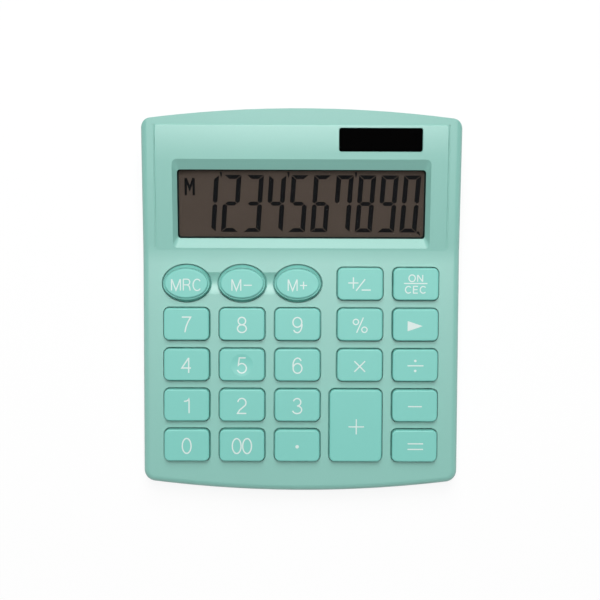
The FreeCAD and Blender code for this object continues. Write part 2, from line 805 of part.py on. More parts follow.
def make_wire(x):
    """Insulated wire from the back of the solar cell, under the display holder, to the board."""
    below = holder_bottom - screw_head_height - wire_diameter
    solar_back = solar_cell_bottom()
    landing = mat_rear - wire_lead
    points = [point_on(solar_seat_place, x - solar_x, 0, solar_back),
              point_on(solar_seat_place, x - solar_x, 0, solar_back - 2 * wire_lead),
              point_on(panel_place, x, lens_rear, below),
              point_on(panel_place, x, glass_front, below),
              point_on(deck_place, x, landing, board_bottom - 2 * wire_lead),
              point_on(deck_place, x, landing, board_bottom)]
    path = bent_path(points, wire_bend_radius)
    section = Part.Wire(Part.Circle(points[0], points[1] - points[0], wire_diameter / 2).toShape())
    return path.makePipeShell([section], True, False)


def make_solar_wires():
    middle = (solar_x + case_boss_x) / 2 - wire_spacing
    return Part.makeCompound([make_wire(middle - wire_spacing / 2), make_wire(middle + wire_spacing / 2)])


# Keypad, board and what is on it

def make_keypad():
    """Moulded rubber sheet with a hollow dome under every key."""
    sheet = Part.makeBox(2 * mat_half, mat_rear - mat_front, sheet_thickness,
                         Vector(-mat_half, mat_front, board_top))
    height = dome_top - sheet_top
    hollow_height = height + sheet_thickness - dome_skin - dome_crush
    domes, hollows = [], []
    for name, kind, width, length, x, y in keys:
        domes.append(Part.makeCone(dome_base_diameter / 2, dome_top_diameter / 2, height,
                                   Vector(x, y, sheet_top)))
        hollows.append(Part.makeCone(dome_base_diameter / 2 - dome_skin, dome_top_diameter / 2 - dome_skin,
                                     hollow_height, Vector(x, y, board_top)))
    for x, y in board_screw_spots:
        hollows.append(cylinder(board_boss_diameter + 2 * boss_clearance, board_top - reach,
                                sheet_top + reach, x, y))
    return placed(deck_place, sheet.fuse(domes).cut(hollows).removeSplitter())


def make_board():
    board = Part.makeBox(2 * board_half, board_rear - board_front, board_thickness,
                         Vector(-board_half, board_front, board_bottom))
    bores = [cylinder(screw_shank_diameter + head_clearance, board_bottom - reach, board_top + reach, x, y)
             for x, y in board_screw_spots]
    return placed(deck_place, board.cut(bores))


def make_processor():
    """Domed resin cap over the bonded chip."""
    radius = ((blob_diameter / 2) ** 2 + blob_height ** 2) / (2 * blob_height)
    ball = Part.makeSphere(radius, Vector(0, 0, board_bottom + radius - blob_height))
    cap = ball.common(cylinder(2 * blob_diameter, board_bottom - blob_height, board_bottom))
    return placed(at(deck_place, column_x[1], row_gap_y[2], 0), cap)


cell_x = (column_x[3] + column_x[4]) / 2
cell_y = row_gap_y[0]
cell_top = board_bottom - contact_thickness
cell_bottom = cell_top - cell_height


def make_button_cell():
    crimp = contact_thickness
    can = cylinder(cell_diameter, cell_bottom, cell_top - crimp)
    cap = cylinder(cell_diameter - 4 * crimp, cell_top - crimp, cell_top)
    return placed(at(deck_place, cell_x, cell_y, 0), can.fuse(cap).removeSplitter())


def make_battery_contact():
    """Flat tin strip between the board and the cell."""
    strip = Part.makeBox(contact_width, cell_diameter, contact_thickness,
                         Vector(-contact_width / 2, -cell_diameter / 2, cell_top))
    return placed(at(deck_place, cell_x, cell_y, 0), strip)


def make_battery_clip():
    """Bent strip that bridges the cell, with a soldered foot at each end."""
    half = cell_diameter / 2 + clip_fit
    low = cell_bottom - contact_thickness
    bridge = Part.makeBox(2 * (half + contact_thickness), contact_width, contact_thickness,
                          Vector(-half - contact_thickness, -contact_width / 2, low))
    legs, feet = [], []
    for side in (-1, 1):
        leg_x = half if side > 0 else -half - contact_thickness
        legs.append(Part.makeBox(contact_thickness, contact_width, board_bottom - low,
                                 Vector(leg_x, -contact_width / 2, low)))
        foot_x = half if side > 0 else -half - contact_width / 2
        feet.append(Part.makeBox(contact_width / 2, contact_width, contact_thickness,
                                 Vector(foot_x, -contact_width / 2, board_bottom - contact_thickness)))
    return placed(at(deck_place, cell_x, cell_y, 0), bridge.fuse(legs + feet).removeSplitter())


def make_board_components():
    """Two round capacitors and two rows of chip parts under the rear of the board."""
    pieces = []
    for x in (column_x[0], column_x[1]):
        can = cylinder(capacitor_diameter, board_bottom - capacitor_height, board_bottom, x, row_y[0])
        rim = [e for e in can.Edges if e.Closed and e.Vertexes[0].Z < board_bottom - capacitor_height / 2]
        pieces.append(can.makeFillet(foot_edge_radius, rim))
    for row in (row_y[1], row_gap_y[1]):
        for step in range(chips_in_row):
            x = column_x[2] + (step - (chips_in_row - 1) / 2) * chip_pitch
            corner = Vector(x - chip_length / 2, row - chip_width / 2, board_bottom - chip_height)
            pieces.append(Part.makeBox(chip_length, chip_width, chip_height, corner))
    return placed(deck_place, Part.makeCompound(pieces))


def screws_at(places, length):
    return Part.makeCompound([placed(place, screw(length)) for place in places])


def build():
    """Every node by name."""
    nodes = {
        "upper_cabinet": make_upper_cabinet(),
        "lower_cabinet": make_lower_cabinet(),
        "rubber_feet": Part.makeCompound([make_foot(x, y) for x, y in foot_spots()]),
        "case_screws": screws_at(case_screw_places, case_screw_length),
        "display_window": panel_slab(gasket_top, lens_top, lens_half, lens_front, lens_rear),
        "lcd_gasket": make_gasket(),
        "lcd_front_glass": panel_slab(rear_glass_top, front_glass_top, lens_half, lens_front, lens_rear),
        "lcd_rear_glass": panel_slab(reflector_top, rear_glass_top, lens_half, glass_front, lens_rear),
        "lcd_reflector": panel_slab(holder_top, reflector_top, lens_half, lens_front, lens_rear),
        "lcd_holder": make_holder(),
        "holder_screws": screws_at(holder_screw_places, holder_screw_length),
        "lcd_ribbon": make_ribbon(),
        "solar_window": make_solar_window(),
        "solar_cell": make_solar_cell(),
        "solar_wires": make_solar_wires(),
        "rubber_keypad": make_keypad(),
        "circuit_board": make_board(),
        "board_screws": screws_at(board_screw_places, board_screw_length),
        "processor": make_processor(),
        "board_components": make_board_components(),
        "button_cell": make_button_cell(),
        "battery_contact": make_battery_contact(),
        "battery_clip": make_battery_clip(),
    }
    for name, kind, width, length, x, y in keys:
        key = make_key(kind, width, length)
        if name == "key_5":
            key = key.cut(finger_dish())
        nodes[name] = placed(at(deck_place, x, y, 0), key)
    return nodes


os.makedirs("parts", exist_ok=True)
for node_name, node_shape in build().items():
    node_shape.exportStep("parts/" + node_name + ".step")
    if not node_shape.isValid():
        print("not valid:", node_name)
print("case width", round(2 * case_half, 2), "length", round(case_length, 2))
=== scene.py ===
import json
import math

import bmesh
import bpy
from mathutils import Matrix, Vector


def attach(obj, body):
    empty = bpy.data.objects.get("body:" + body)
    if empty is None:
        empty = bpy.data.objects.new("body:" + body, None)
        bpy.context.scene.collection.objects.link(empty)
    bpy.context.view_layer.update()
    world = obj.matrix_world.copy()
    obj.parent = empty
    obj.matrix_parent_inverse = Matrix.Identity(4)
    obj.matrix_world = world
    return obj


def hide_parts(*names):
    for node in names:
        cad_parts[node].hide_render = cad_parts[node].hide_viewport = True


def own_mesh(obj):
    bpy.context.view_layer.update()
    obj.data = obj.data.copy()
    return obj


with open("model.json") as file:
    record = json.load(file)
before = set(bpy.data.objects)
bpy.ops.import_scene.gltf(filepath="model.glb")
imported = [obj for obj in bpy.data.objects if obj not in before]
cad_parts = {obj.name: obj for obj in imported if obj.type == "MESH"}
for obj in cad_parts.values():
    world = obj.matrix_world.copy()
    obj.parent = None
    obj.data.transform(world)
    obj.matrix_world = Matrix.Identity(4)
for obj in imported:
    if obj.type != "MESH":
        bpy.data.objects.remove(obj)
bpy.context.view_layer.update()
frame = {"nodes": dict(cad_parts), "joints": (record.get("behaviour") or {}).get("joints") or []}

# Looks of a mint-green desktop calculator: moulded case, printed keys, display and solar strip.
# Lengths in the tables below are millimetres, and the model itself is in metres.
MM = 0.001
KEYS = [joint["child"] for joint in frame["joints"]]
DECK_NORMAL = -Vector(frame["joints"][0]["axis"]).normalized()

# Printed legends: each stroke lies a step above the last, so that crossing strokes share no face
INK_HEIGHT = 0.03
INK_SINK = 0.02
INK_STEP = 0.002
INK_RUN = 0.5
DIGIT_CAP = 5.4
DIGIT_STROKE = 0.42
DIGIT_RISE = -0.15
ZEROS_GAP = 0.1
LETTER_CAP = 4.05
LETTER_STROKE = 0.36
LETTER_RISE = -0.45
LETTER_GAP = 0.6
SMALL_CAP = 2.55
SMALL_STROKE = 0.36
SMALL_SHIFT = -0.1
SMALL_STRETCH = 1.25
SMALL_GAP = 0.4
SIGN_STROKE = 0.38
PERCENT_RING = 1.75
DISH_DIAMETER = 7.2
DISH_DEPTH = 0.25

# Segments of the display
DIGIT_HEIGHT = 18.7
DIGIT_WIDTH = 5.6
DIGIT_PITCH = 7.33
UPRIGHT_STROKE = 1.55
LEVEL_STROKE = 1.3
SEGMENT_GAP = 0.14
SEGMENT_SLANT = math.tan(math.radians(3.9))
SEGMENT_THICKNESS = 0.02
FIRST_DIGIT_RIGHT = -28.15
DIGITS_BOTTOM = 1.9
SHOWN_NUMBER = "1234567890"
SEGMENTS_OF = {"0": "abcdef", "1": "bc", "2": "abged", "3": "abgcd", "4": "fgbc", "5": "afgcd",
               "6": "afgedc", "7": "fabc", "8": "abcdefg", "9": "abcdfg"}

# Marks of the display: ticks and point beside the digits, and the memory letter's left, low, width and height
TICKS_AFTER = (0, 3, 6)
TICK_SIZE = (0.8, 1.9)
TICK_SHOULDER = 0.4
TICK_TOE = 0.7
POINT_OUTLINE = ((0.0, 0.35), (0.0, -0.35), (0.5, -0.45), (0.9, -1.0), (1.15, -0.8), (0.75, 0.35))
MEMORY_MARK = (-37.8, 12.0, 2.6, 5.6)
MEMORY_STROKE = 0.78
MEMORY_DIP = 0.4

# The display's printed border, whose dark mint colour is painted shade at the window's edge, and the opening
# that it lines
BORDER_INSIDE = 0.4
BORDER_CORNER = 0.8
BORDER_CLEARANCE = 0.01
WINDOW_LIP = 2.2

# Rubber keypad, with steps out and up a dome's side from the rims of its crown and of its foot
DOME_FOOT = 8.6
DOME_CROWN = 5.4
DOME_CROWN_STEPS = ((-0.3, 0.0), (0.0, -0.15), (0.1, -0.4))
DOME_FOOT_STEPS = ((-0.15, 0.25), (0.1, 0.1), (0.4, 0.06), (0.4, 0.01))
DOME_SKIN = 0.5
DOME_SIDES = 40
SHEET_THICKNESS = 0.7
POST_HOLE = 3.8

# Limits for meshes: degrees in a step of an arc, a corner's least spread, a crease, and a face that looks up
ARC_STEP = 12
LEAST_SPREAD = 0.25
CREASE_ANGLE = math.radians(35)
LOOKS_UP = 0.9

# Finishes: counts over a metre, and how far the grain moves the roughness
PATCHES_PER_METRE = 40.0
SPECKS_PER_METRE = 2500.0
CLEAR_CELLS = 180.0
GRAIN_SPREAD = 0.1

# Studio in metres, with the place on the ramp and the colour of its walls and ceiling
FLOOR_HALF = 3.0
FLOOR_COLOUR = (0.86, 0.86, 0.86, 1.0)
FLOOR_DRIFT = 0.01
FLOOR_ROUGHNESS = 0.9
FLOOR_GLOSS = 0.1
FLOOR_GLOW = 0.88
FILL_LEVEL = 0.2
WALLS = (0.25, (1.0, 1.0, 1.0, 1.0))
CEILING = (0.85, (0.16, 0.16, 0.16, 1.0))
CAMERA_SPOT = (-0.00034, 0.00091, 0.4)
CAMERA_TURN = math.radians(0.2)
CAMERA_LENS = 70.7
CAMERA_SENSOR = 36.0
LAMP_DISTANCE = 1.0

# Tilt in degrees, width, height and watts of each lamp
SOFT_BOXES = {"high_soft_box": (-16.0, 0.44, 0.73, 10.4), "rear_soft_box": (-46.0, 0.6, 0.34, 2.5)}


# Places on the sloping faces

def slope_frame(origin, normal):
    """Matrix of a sloping face: x to the right, y up the slope and z out of the face."""
    right = Vector((1, 0, 0))
    up = normal.cross(right)
    turn = Matrix((right, up, normal)).transposed().to_4x4()
    return Matrix.Translation(origin) @ turn


def top_of(node, normal):
    """Frame on the middle of a node's top, and its size along that frame's axes."""
    turn = slope_frame(Vector((0, 0, 0)), normal)
    back = turn.inverted()
    points = [back @ vertex.co for vertex in frame["nodes"][node].data.vertices]
    low = Vector([min(point[i] for point in points) for i in range(3)])
    high = Vector([max(point[i] for point in points) for i in range(3)])
    middle = Vector(((low.x + high.x) / 2, (low.y + high.y) / 2, high.z))
    return slope_frame(turn @ middle, normal), high - low


def face_normal(node):
    """Normal of a node's largest face that looks up."""
    upward = [face for face in frame["nodes"][node].data.polygons if face.normal.z > LOOKS_UP]
    return max(upward, key=lambda face: face.area).normal.copy()


PANEL_NORMAL = face_normal("lcd_front_glass")


# Shader groups

def srgb(red, green, blue):
    """Linear colour of an 8-bit display colour."""
    def linear(value):
        share = value / 255
        return share / 12.92 if share <= 0.04045 else ((share + 0.055) / 1.055) ** 2.4
    return (linear(red), linear(green), linear(blue), 1.0)


def new_group(name, inputs, outputs):
    group = bpy.data.node_groups.new(name, "ShaderNodeTree")
    for label, kind, value in inputs:
        socket = group.interface.new_socket(label, in_out="INPUT", socket_type=kind)
        socket.default_value = value
    for label, kind in outputs:
        group.interface.new_socket(label, in_out="OUTPUT", socket_type=kind)
    return group, group.nodes.new("NodeGroupInput"), group.nodes.new("NodeGroupOutput")


def noise(tree, detail):
    """Noise texture over the object's own coordinates."""
    place = tree.nodes.new("ShaderNodeTexCoord")
    texture = tree.nodes.new("ShaderNodeTexNoise")
    texture.inputs["Detail"].default_value = detail
    tree.links.new(place.outputs["Object"], texture.inputs["Vector"])
    return texture


def math_node(tree, operation, first, second):
    node = tree.nodes.new("ShaderNodeMath")
    node.operation = operation
    for socket, value in zip(node.inputs, (first, second)):
        if isinstance(value, (int, float)):
            socket.default_value = value
        else:
            tree.links.new(value, socket)
    return node.outputs[0]


def grain_group():
    """Fine moulded grain: a height for bump and a roughness that follows it."""
    group, entry, leave = new_group(
        "moulded_grain",
        [("Cells per metre", "NodeSocketFloat", 3000.0), ("Roughness", "NodeSocketFloat", 0.4),
         ("Spread", "NodeSocketFloat", GRAIN_SPREAD)],
        [("Height", "NodeSocketFloat"), ("Roughness", "NodeSocketFloat")])
    texture = noise(group, 3.0)
    group.links.new(entry.outputs["Cells per metre"], texture.inputs["Scale"])
    centred = math_node(group, "SUBTRACT", texture.outputs["Fac"], 0.5)
    swing = math_node(group, "MULTIPLY", centred, entry.outputs["Spread"])
    rough = math_node(group, "ADD", swing, entry.outputs["Roughness"])
    group.links.new(texture.outputs["Fac"], leave.inputs["Height"])
    group.links.new(rough, leave.inputs["Roughness"])
    return group


def tone_group():
    """Slight drift of a colour over the surface, in wide patches and in fine specks."""
    group, entry, leave = new_group(
        "tone_drift",
        [("Colour", "NodeSocketColor", (0.5, 0.5, 0.5, 1.0)),
         ("Patches per metre", "NodeSocketFloat", PATCHES_PER_METRE),
         ("Patch amount", "NodeSocketFloat", 0.05),
         ("Specks per metre", "NodeSocketFloat", SPECKS_PER_METRE),
         ("Speck amount", "NodeSocketFloat", 0.05)],
        [("Colour", "NodeSocketColor")])
    total = 1.0
    for many, amount, detail in (("Patches per metre", "Patch amount", 2.0),
                                 ("Specks per metre", "Speck amount", 1.0)):
        texture = noise(group, detail)
        group.links.new(entry.outputs[many], texture.inputs["Scale"])
        centred = math_node(group, "SUBTRACT", texture.outputs["Fac"], 0.5)
        swing = math_node(group, "MULTIPLY", centred, entry.outputs[amount])
        total = math_node(group, "ADD", swing, total)
    scaled = group.nodes.new("ShaderNodeVectorMath")
    scaled.operation = "SCALE"
    group.links.new(entry.outputs["Colour"], scaled.inputs[0])
    group.links.new(total, scaled.inputs["Scale"])
    group.links.new(scaled.outputs[0], leave.inputs["Colour"])
    return group


GRAIN = grain_group()
TONE = tone_group()


# Materials

def new_material(name):
    material = bpy.data.materials.new(name)
    material.use_nodes = True
    return material, material.node_tree, material.node_tree.nodes["Principled BSDF"]


def place_group(tree, group, values):
    node = tree.nodes.new("ShaderNodeGroup")
    node.node_tree = group
    for label, value in values.items():
        node.inputs[label].default_value = value
    return node


def add_grain(tree, shader, cells, roughness, depth):
    """Grain that moves the roughness and, through a bump, the normal."""
    grain = place_group(tree, GRAIN, {"Cells per metre": cells, "Roughness": roughness,
                                      "Spread": GRAIN_SPREAD})
    bump = tree.nodes.new("ShaderNodeBump")
    bump.inputs["Distance"].default_value = depth
    tree.links.new(grain.outputs["Height"], bump.inputs["Height"])
    tree.links.new(grain.outputs["Roughness"], shader.inputs["Roughness"])
    tree.links.new(bump.outputs["Normal"], shader.inputs["Normal"])


def add_tone(tree, shader, colour, patch, speck):
    """Base colour that drifts over the surface."""
    tone = place_group(tree, TONE, {"Colour": colour, "Patch amount": patch, "Speck amount": speck,
                                    "Patches per metre": PATCHES_PER_METRE,
                                    "Specks per metre": SPECKS_PER_METRE})
    tree.links.new(tone.outputs["Colour"], shader.inputs["Base Color"])


def mix_to_output(tree, share, first, second):
    """Surface that is the first shader where the share is zero and the second where it is one."""
    choice = tree.nodes.new("ShaderNodeMixShader")
    tree.links.new(share, choice.inputs["Fac"])
    tree.links.new(first, choice.inputs[1])
    tree.links.new(second, choice.inputs[2])
    tree.links.new(choice.outputs["Shader"], tree.nodes["Material Output"].inputs["Surface"])


def plain_finish(name, colour, roughness, cells=3000.0, depth=0.00001, metallic=0.0, patch=0.05, speck=0.05,
                 ior=1.5, gloss=0.5):
    """A moulded, cast or rolled finish with grain and a little drift of tone."""
    material, tree, shader = new_material(name)
    shader.inputs["Metallic"].default_value = metallic
    shader.inputs["IOR"].default_value = ior
    shader.inputs["Specular IOR Level"].default_value = gloss
    add_tone(tree, shader, colour, patch, speck)
    add_grain(tree, shader, cells, roughness, depth)
    return material


def clear_finish(name, tint, roughness, ior):
    """Clear moulded plastic that lets lamp light through to what lies behind it."""
    material, tree, shader = new_material(name)
    shader.inputs["Base Color"].default_value = tint
    shader.inputs["Transmission Weight"].default_value = 1.0
    shader.inputs["IOR"].default_value = ior
    grain = place_group(tree, GRAIN, {"Cells per metre": CLEAR_CELLS, "Roughness": roughness,
                                      "Spread": roughness})
    tree.links.new(grain.outputs["Roughness"], shader.inputs["Roughness"])
    passing = tree.nodes.new("ShaderNodeBsdfTransparent")
    passing.inputs["Color"].default_value = tint
    rays = tree.nodes.new("ShaderNodeLightPath")
    mix_to_output(tree, rays.outputs["Is Shadow Ray"], shader.outputs["BSDF"], passing.outputs["BSDF"])
    return material


MINT_CASE = plain_finish("mint_case", srgb(128, 182, 171), 0.37, cells=2600.0, depth=0.000008, speck=0.04,
                         ior=1.59)
MINT_KEYS = plain_finish("mint_keys", srgb(116, 190, 179), 0.44, cells=3500.0, depth=0.000006, speck=0.02)
LEGEND_INK = plain_finish("legend_ink", srgb(202, 216, 212), 0.5, cells=5000.0, depth=0.000004)
FOOT_RUBBER = plain_finish("foot_rubber", srgb(58, 60, 60), 0.8, cells=4000.0, depth=0.00003, speck=0.2)
SCREW_STEEL = plain_finish("screw_steel", srgb(150, 152, 152), 0.35, cells=6000.0, metallic=1.0)
LENS_CLEAR = clear_finish("lens_clear", (1.0, 1.0, 1.0, 1.0), 0.015, 1.15)
GASKET_FOAM = plain_finish("gasket_foam", srgb(30, 32, 32), 0.95, cells=2500.0, depth=0.00008, speck=0.5)
LCD_FILM = plain_finish("lcd_film", srgb(65, 57, 51), 0.45, cells=8000.0, depth=0.000002, patch=0.12,
                        speck=0.1, gloss=0.0)
SEGMENT_INK = plain_finish("segment_ink", srgb(15, 16, 17), 0.45, cells=8000.0, depth=0.000002, gloss=0.0)
# Dark mint border ink: painted shade along the edge of the display window
BORDER_SHADE_INK = plain_finish("border_shade_ink", srgb(18, 30, 28), 0.5, cells=6000.0, depth=0.000003, gloss=0.0)
REFLECTOR_FILM = plain_finish("reflector_film", srgb(190, 190, 186), 0.35, cells=9000.0, metallic=0.8)
HOLDER_PLASTIC = plain_finish("holder_plastic", srgb(214, 214, 208), 0.5)
RIBBON_FILM = plain_finish("ribbon_film", srgb(196, 150, 74), 0.3, cells=1200.0)
SOLAR_TINT = clear_finish("solar_tint", srgb(60, 56, 60), 0.03, 1.2)
SOLAR_BLACK = plain_finish("solar_black", srgb(14, 13, 18), 0.3, cells=900.0)
WIRE_SLEEVE = plain_finish("wire_sleeve", srgb(170, 44, 40), 0.4)
# Dark mint keypad rubber: painted shade that darkens the gaps round the keys and the domes under them
KEYPAD_RUBBER_SHADE = plain_finish("keypad_rubber", srgb(46, 72, 66), 0.7, cells=2500.0, depth=0.00002)
BOARD_LAMINATE = plain_finish("board_laminate", srgb(44, 104, 66), 0.35, cells=1500.0)
RESIN_BLACK = plain_finish("resin_black", srgb(18, 18, 19), 0.25, cells=900.0)
COMPONENT_BODY = plain_finish("component_body", srgb(62, 66, 84), 0.4)
CELL_STEEL = plain_finish("cell_steel", srgb(196, 196, 194), 0.22, cells=5000.0, metallic=1.0)
CONTACT_STEEL = plain_finish("contact_steel", srgb(186, 182, 170), 0.3, cells=5000.0, metallic=1.0)

NODE_FINISH = {
    "upper_cabinet": MINT_CASE, "lower_cabinet": MINT_CASE, "rubber_feet": FOOT_RUBBER,
    "case_screws": SCREW_STEEL, "holder_screws": SCREW_STEEL, "board_screws": SCREW_STEEL,
    "display_window": LENS_CLEAR, "lcd_gasket": GASKET_FOAM, "lcd_front_glass": LCD_FILM,
    "lcd_rear_glass": LCD_FILM, "lcd_reflector": REFLECTOR_FILM, "lcd_holder": HOLDER_PLASTIC,
    "lcd_ribbon": RIBBON_FILM, "solar_window": SOLAR_TINT, "solar_cell": SOLAR_BLACK,
    "solar_wires": WIRE_SLEEVE, "circuit_board": BOARD_LAMINATE, "processor": RESIN_BLACK,
    "board_components": COMPONENT_BODY, "button_cell": CELL_STEEL, "battery_contact": CONTACT_STEEL,
    "battery_clip": CONTACT_STEEL, "rubber_keypad": KEYPAD_RUBBER_SHADE,
}

for node_name, node in frame["nodes"].items():
    finish = NODE_FINISH.get(node_name, MINT_KEYS)
    node.data.materials.clear()
    node.data.materials.append(finish)


# Mesh helpers

def new_object(name, data):
    thing = bpy.data.objects.new(name, data)
    bpy.context.scene.collection.objects.link(thing)
    return thing


def piece_from(bm, name, material, place):
    """A piece from a mesh drawn in millimetres in the frame that place gives."""
    bm.transform(place @ Matrix.Scale(MM, 4))
    bmesh.ops.recalc_face_normals(bm, faces=bm.faces[:])
    mesh = bpy.data.meshes.new(name)
    bm.to_mesh(mesh)
    bm.free()
    mesh.materials.append(material)
    return new_object(name, mesh)


def smooth(piece):
    """Smooth shading that keeps creases sharp."""
    piece.data.shade_smooth()
    piece.data.set_sharp_from_angle(angle=CREASE_ANGLE)


def plate(bm, outline, low, high):
    """Flat plate between two levels with the given outline."""
    bottom = [bm.verts.new((x, y, low)) for x, y in outline]
    top = [bm.verts.new((x, y, high)) for x, y in outline]
    bm.faces.new(top)
    bm.faces.new(bottom[::-1])
    for i in range(len(outline)):
        j = (i + 1) % len(outline)
        bm.faces.new((bottom[i], bottom[j], top[j], top[i]))


def divided(points, closed, step):
    """The same line with no run longer than step."""
    result = []
    ends = points[1:] + points[:1] if closed else points[1:]
    for start, end in zip(points, ends):
        count = max(1, math.ceil(math.dist(start, end) / step))
        for i in range(count):
            share = i / count
            result.append((start[0] + (end[0] - start[0]) * share, start[1] + (end[1] - start[1]) * share))
    if not closed:
        result.append(points[-1])
    return result


def offset_at(points, i, closed):
    """Sideways step of one unit at a point of a line, lengthened at a corner."""
    count = len(points)
    normals = []
    for a, b in ((i - 1, i), (i, i + 1)):
        if closed or (a >= 0 and b < count):
            start, end = points[a % count], points[b % count]
            length = math.dist(start, end)
            normals.append(((start[1] - end[1]) / length, (end[0] - start[0]) / length))
    first, last = normals[0], normals[-1]
    spread = max(1 + first[0] * last[0] + first[1] * last[1], LEAST_SPREAD)
    return (first[0] + last[0]) / spread, (first[1] + last[1]) / spread


def ribbon(bm, points, closed, width, low, high):
    """Flat strip of even width along a line."""
    bands = []
    for i, (x, y) in enumerate(points):
        dx, dy = offset_at(points, i, closed)
        left = (x + dx * width / 2, y + dy * width / 2)
        right = (x - dx * width / 2, y - dy * width / 2)
        bands.append([bm.verts.new((*left, low)), bm.verts.new((*right, low)),
                      bm.verts.new((*right, high)), bm.verts.new((*left, high))])
    for band, following in zip(bands, bands[1:] + bands[:1] if closed else bands[1:]):
        for k in range(4):
            bm.faces.new((band[k], band[(k + 1) % 4], following[(k + 1) % 4], following[k]))
    if not closed:
        bm.faces.new(bands[0])
        bm.faces.new(bands[-1][::-1])


def arc(x, y, across, up, start, end):
    """Points of an elliptic arc, from one angle to another in degrees."""
    count = max(3, round(abs(end - start) / ARC_STEP))
    turns = [math.radians(start + (end - start) * i / count) for i in range(count + 1)]
    return [(x + across * math.cos(turn), y + up * math.sin(turn)) for turn in turns]


def ring(x, y, across, up):
    return arc(x, y, across, up, 90, 450)[:-1]


def ring_of(radius, sides):
    """Points of a circle about zero with a chosen number of sides."""
    turns = [2 * math.pi * i / sides for i in range(sides)]
    return [(radius * math.cos(turn), radius * math.sin(turn)) for turn in turns]


# Lettering: each glyph has a width and lines in units of its height, closed lines marked True

GLYPHS = {
    "0": (0.58, [(ring(0.29, 0.5, 0.29, 0.5), True)]),
    "1": (0.33, [([(0.0, 0.79), (0.13, 0.80), (0.24, 0.85), (0.31, 0.93), (0.33, 1.0), (0.33, 0.0)], False)]),
    "2": (0.58, [(arc(0.29, 0.71, 0.27, 0.29, 172, -38) + [(0.13, 0.21), (0.0, 0.0), (0.58, 0.0)], False)]),
    "3": (0.58, [(arc(0.28, 0.755, 0.245, 0.245, 165, -90), False),
                 (arc(0.28, 0.255, 0.30, 0.255, 90, -165), False)]),
    "4": (0.60, [([(0.45, 1.0), (0.45, 0.0)], False), ([(0.44, 0.98), (0.0, 0.32), (0.60, 0.32)], False)]),
    "5": (0.58, [([(0.53, 1.0), (0.12, 1.0), (0.05, 0.5)] + arc(0.28, 0.31, 0.30, 0.31, 130, -160), False)]),
    "6": (0.58, [(arc(0.30, 0.75, 0.24, 0.25, 15, 90) + arc(0.30, 0.5, 0.30, 0.5, 100, 190), False),
                 (ring(0.30, 0.32, 0.29, 0.32), True)]),
    "7": (0.58, [([(0.0, 1.0), (0.58, 1.0), (0.40, 0.68), (0.27, 0.35), (0.20, 0.0)], False)]),
    "8": (0.58, [(ring(0.29, 0.755, 0.245, 0.245), True), (ring(0.29, 0.255, 0.29, 0.255), True)]),
    "9": (0.58, [(arc(0.28, 0.25, 0.24, 0.25, 195, 270) + arc(0.28, 0.5, 0.30, 0.5, 280, 370), False),
                 (ring(0.28, 0.68, 0.29, 0.32), True)]),
    "M": (0.78, [([(0.0, 0.0), (0.0, 1.0)], False), ([(0.78, 0.0), (0.78, 1.0)], False),
                 ([(0.02, 0.99), (0.39, 0.02), (0.76, 0.99)], False)]),
    "R": (0.60, [([(0.0, 0.0), (0.0, 1.0)], False),
                 ([(0.0, 1.0), (0.34, 1.0)] + arc(0.34, 0.75, 0.23, 0.25, 80, -80)
                  + [(0.34, 0.5), (0.0, 0.5)], False),
                 ([(0.34, 0.5), (0.50, 0.40), (0.56, 0.26), (0.60, 0.0)], False)]),
    "C": (0.68, [(arc(0.36, 0.5, 0.36, 0.5, 42, 318), False)]),
    "E": (0.52, [([(0.52, 1.0), (0.0, 1.0), (0.0, 0.0), (0.52, 0.0)], False),
                 ([(0.0, 0.52), (0.48, 0.52)], False)]),
    "O": (0.76, [(ring(0.38, 0.5, 0.38, 0.5), True)]),
    "N": (0.60, [([(0.0, 0.0), (0.0, 1.0)], False), ([(0.60, 0.0), (0.60, 1.0)], False),
                 ([(0.02, 0.99), (0.58, 0.01)], False)]),
    "-": (0.72, [([(0.0, 0.48), (0.72, 0.48)], False)]),
    "+": (0.62, [([(0.0, 0.48), (0.62, 0.48)], False), ([(0.31, 0.14), (0.31, 0.82)], False)]),
}


def lettering(text, cap, stroke, x, y, gap, stretch=1.0):
    """Lines of a word centred on x, y, as points, closed mark and stroke width."""
    size = cap - stroke
    wide = size * stretch
    width = sum(GLYPHS[glyph][0] * wide for glyph in text) + (gap + stroke) * (len(text) - 1)
    start = x - width / 2
    lines = []
    for glyph in text:
        span, strokes = GLYPHS[glyph]
        for points, closed in strokes:
            lines.append(([(start + px * wide, y + (py - 0.5) * size) for px, py in points], closed, stroke))
        start += span * wide + gap + stroke
    return lines


def number(text, gap=LETTER_GAP):
    return lettering(text, DIGIT_CAP, DIGIT_STROKE, 0.0, DIGIT_RISE, gap)


def word(text):
    return lettering(text, LETTER_CAP, LETTER_STROKE, 0.0, LETTER_RISE, LETTER_GAP)


def small_word(text, y):
    return lettering(text, SMALL_CAP, SMALL_STROKE, SMALL_SHIFT, y, SMALL_GAP, SMALL_STRETCH)


def bar(x0, y0, x1, y1, stroke=SIGN_STROKE):
    return [([(x0, y0), (x1, y1)], False, stroke)]


def plus_sign(x, y, across, up):
    return bar(x - across / 2, y, x + across / 2, y) + bar(x, y - up / 2, x, y + up / 2)


def small_ring(x, y):
    return [(ring(x, y, PERCENT_RING / 2, PERCENT_RING / 2), True, SIGN_STROKE)]


# Lines of every legend, and the filled spots of those that have them, about the middle of the key's top

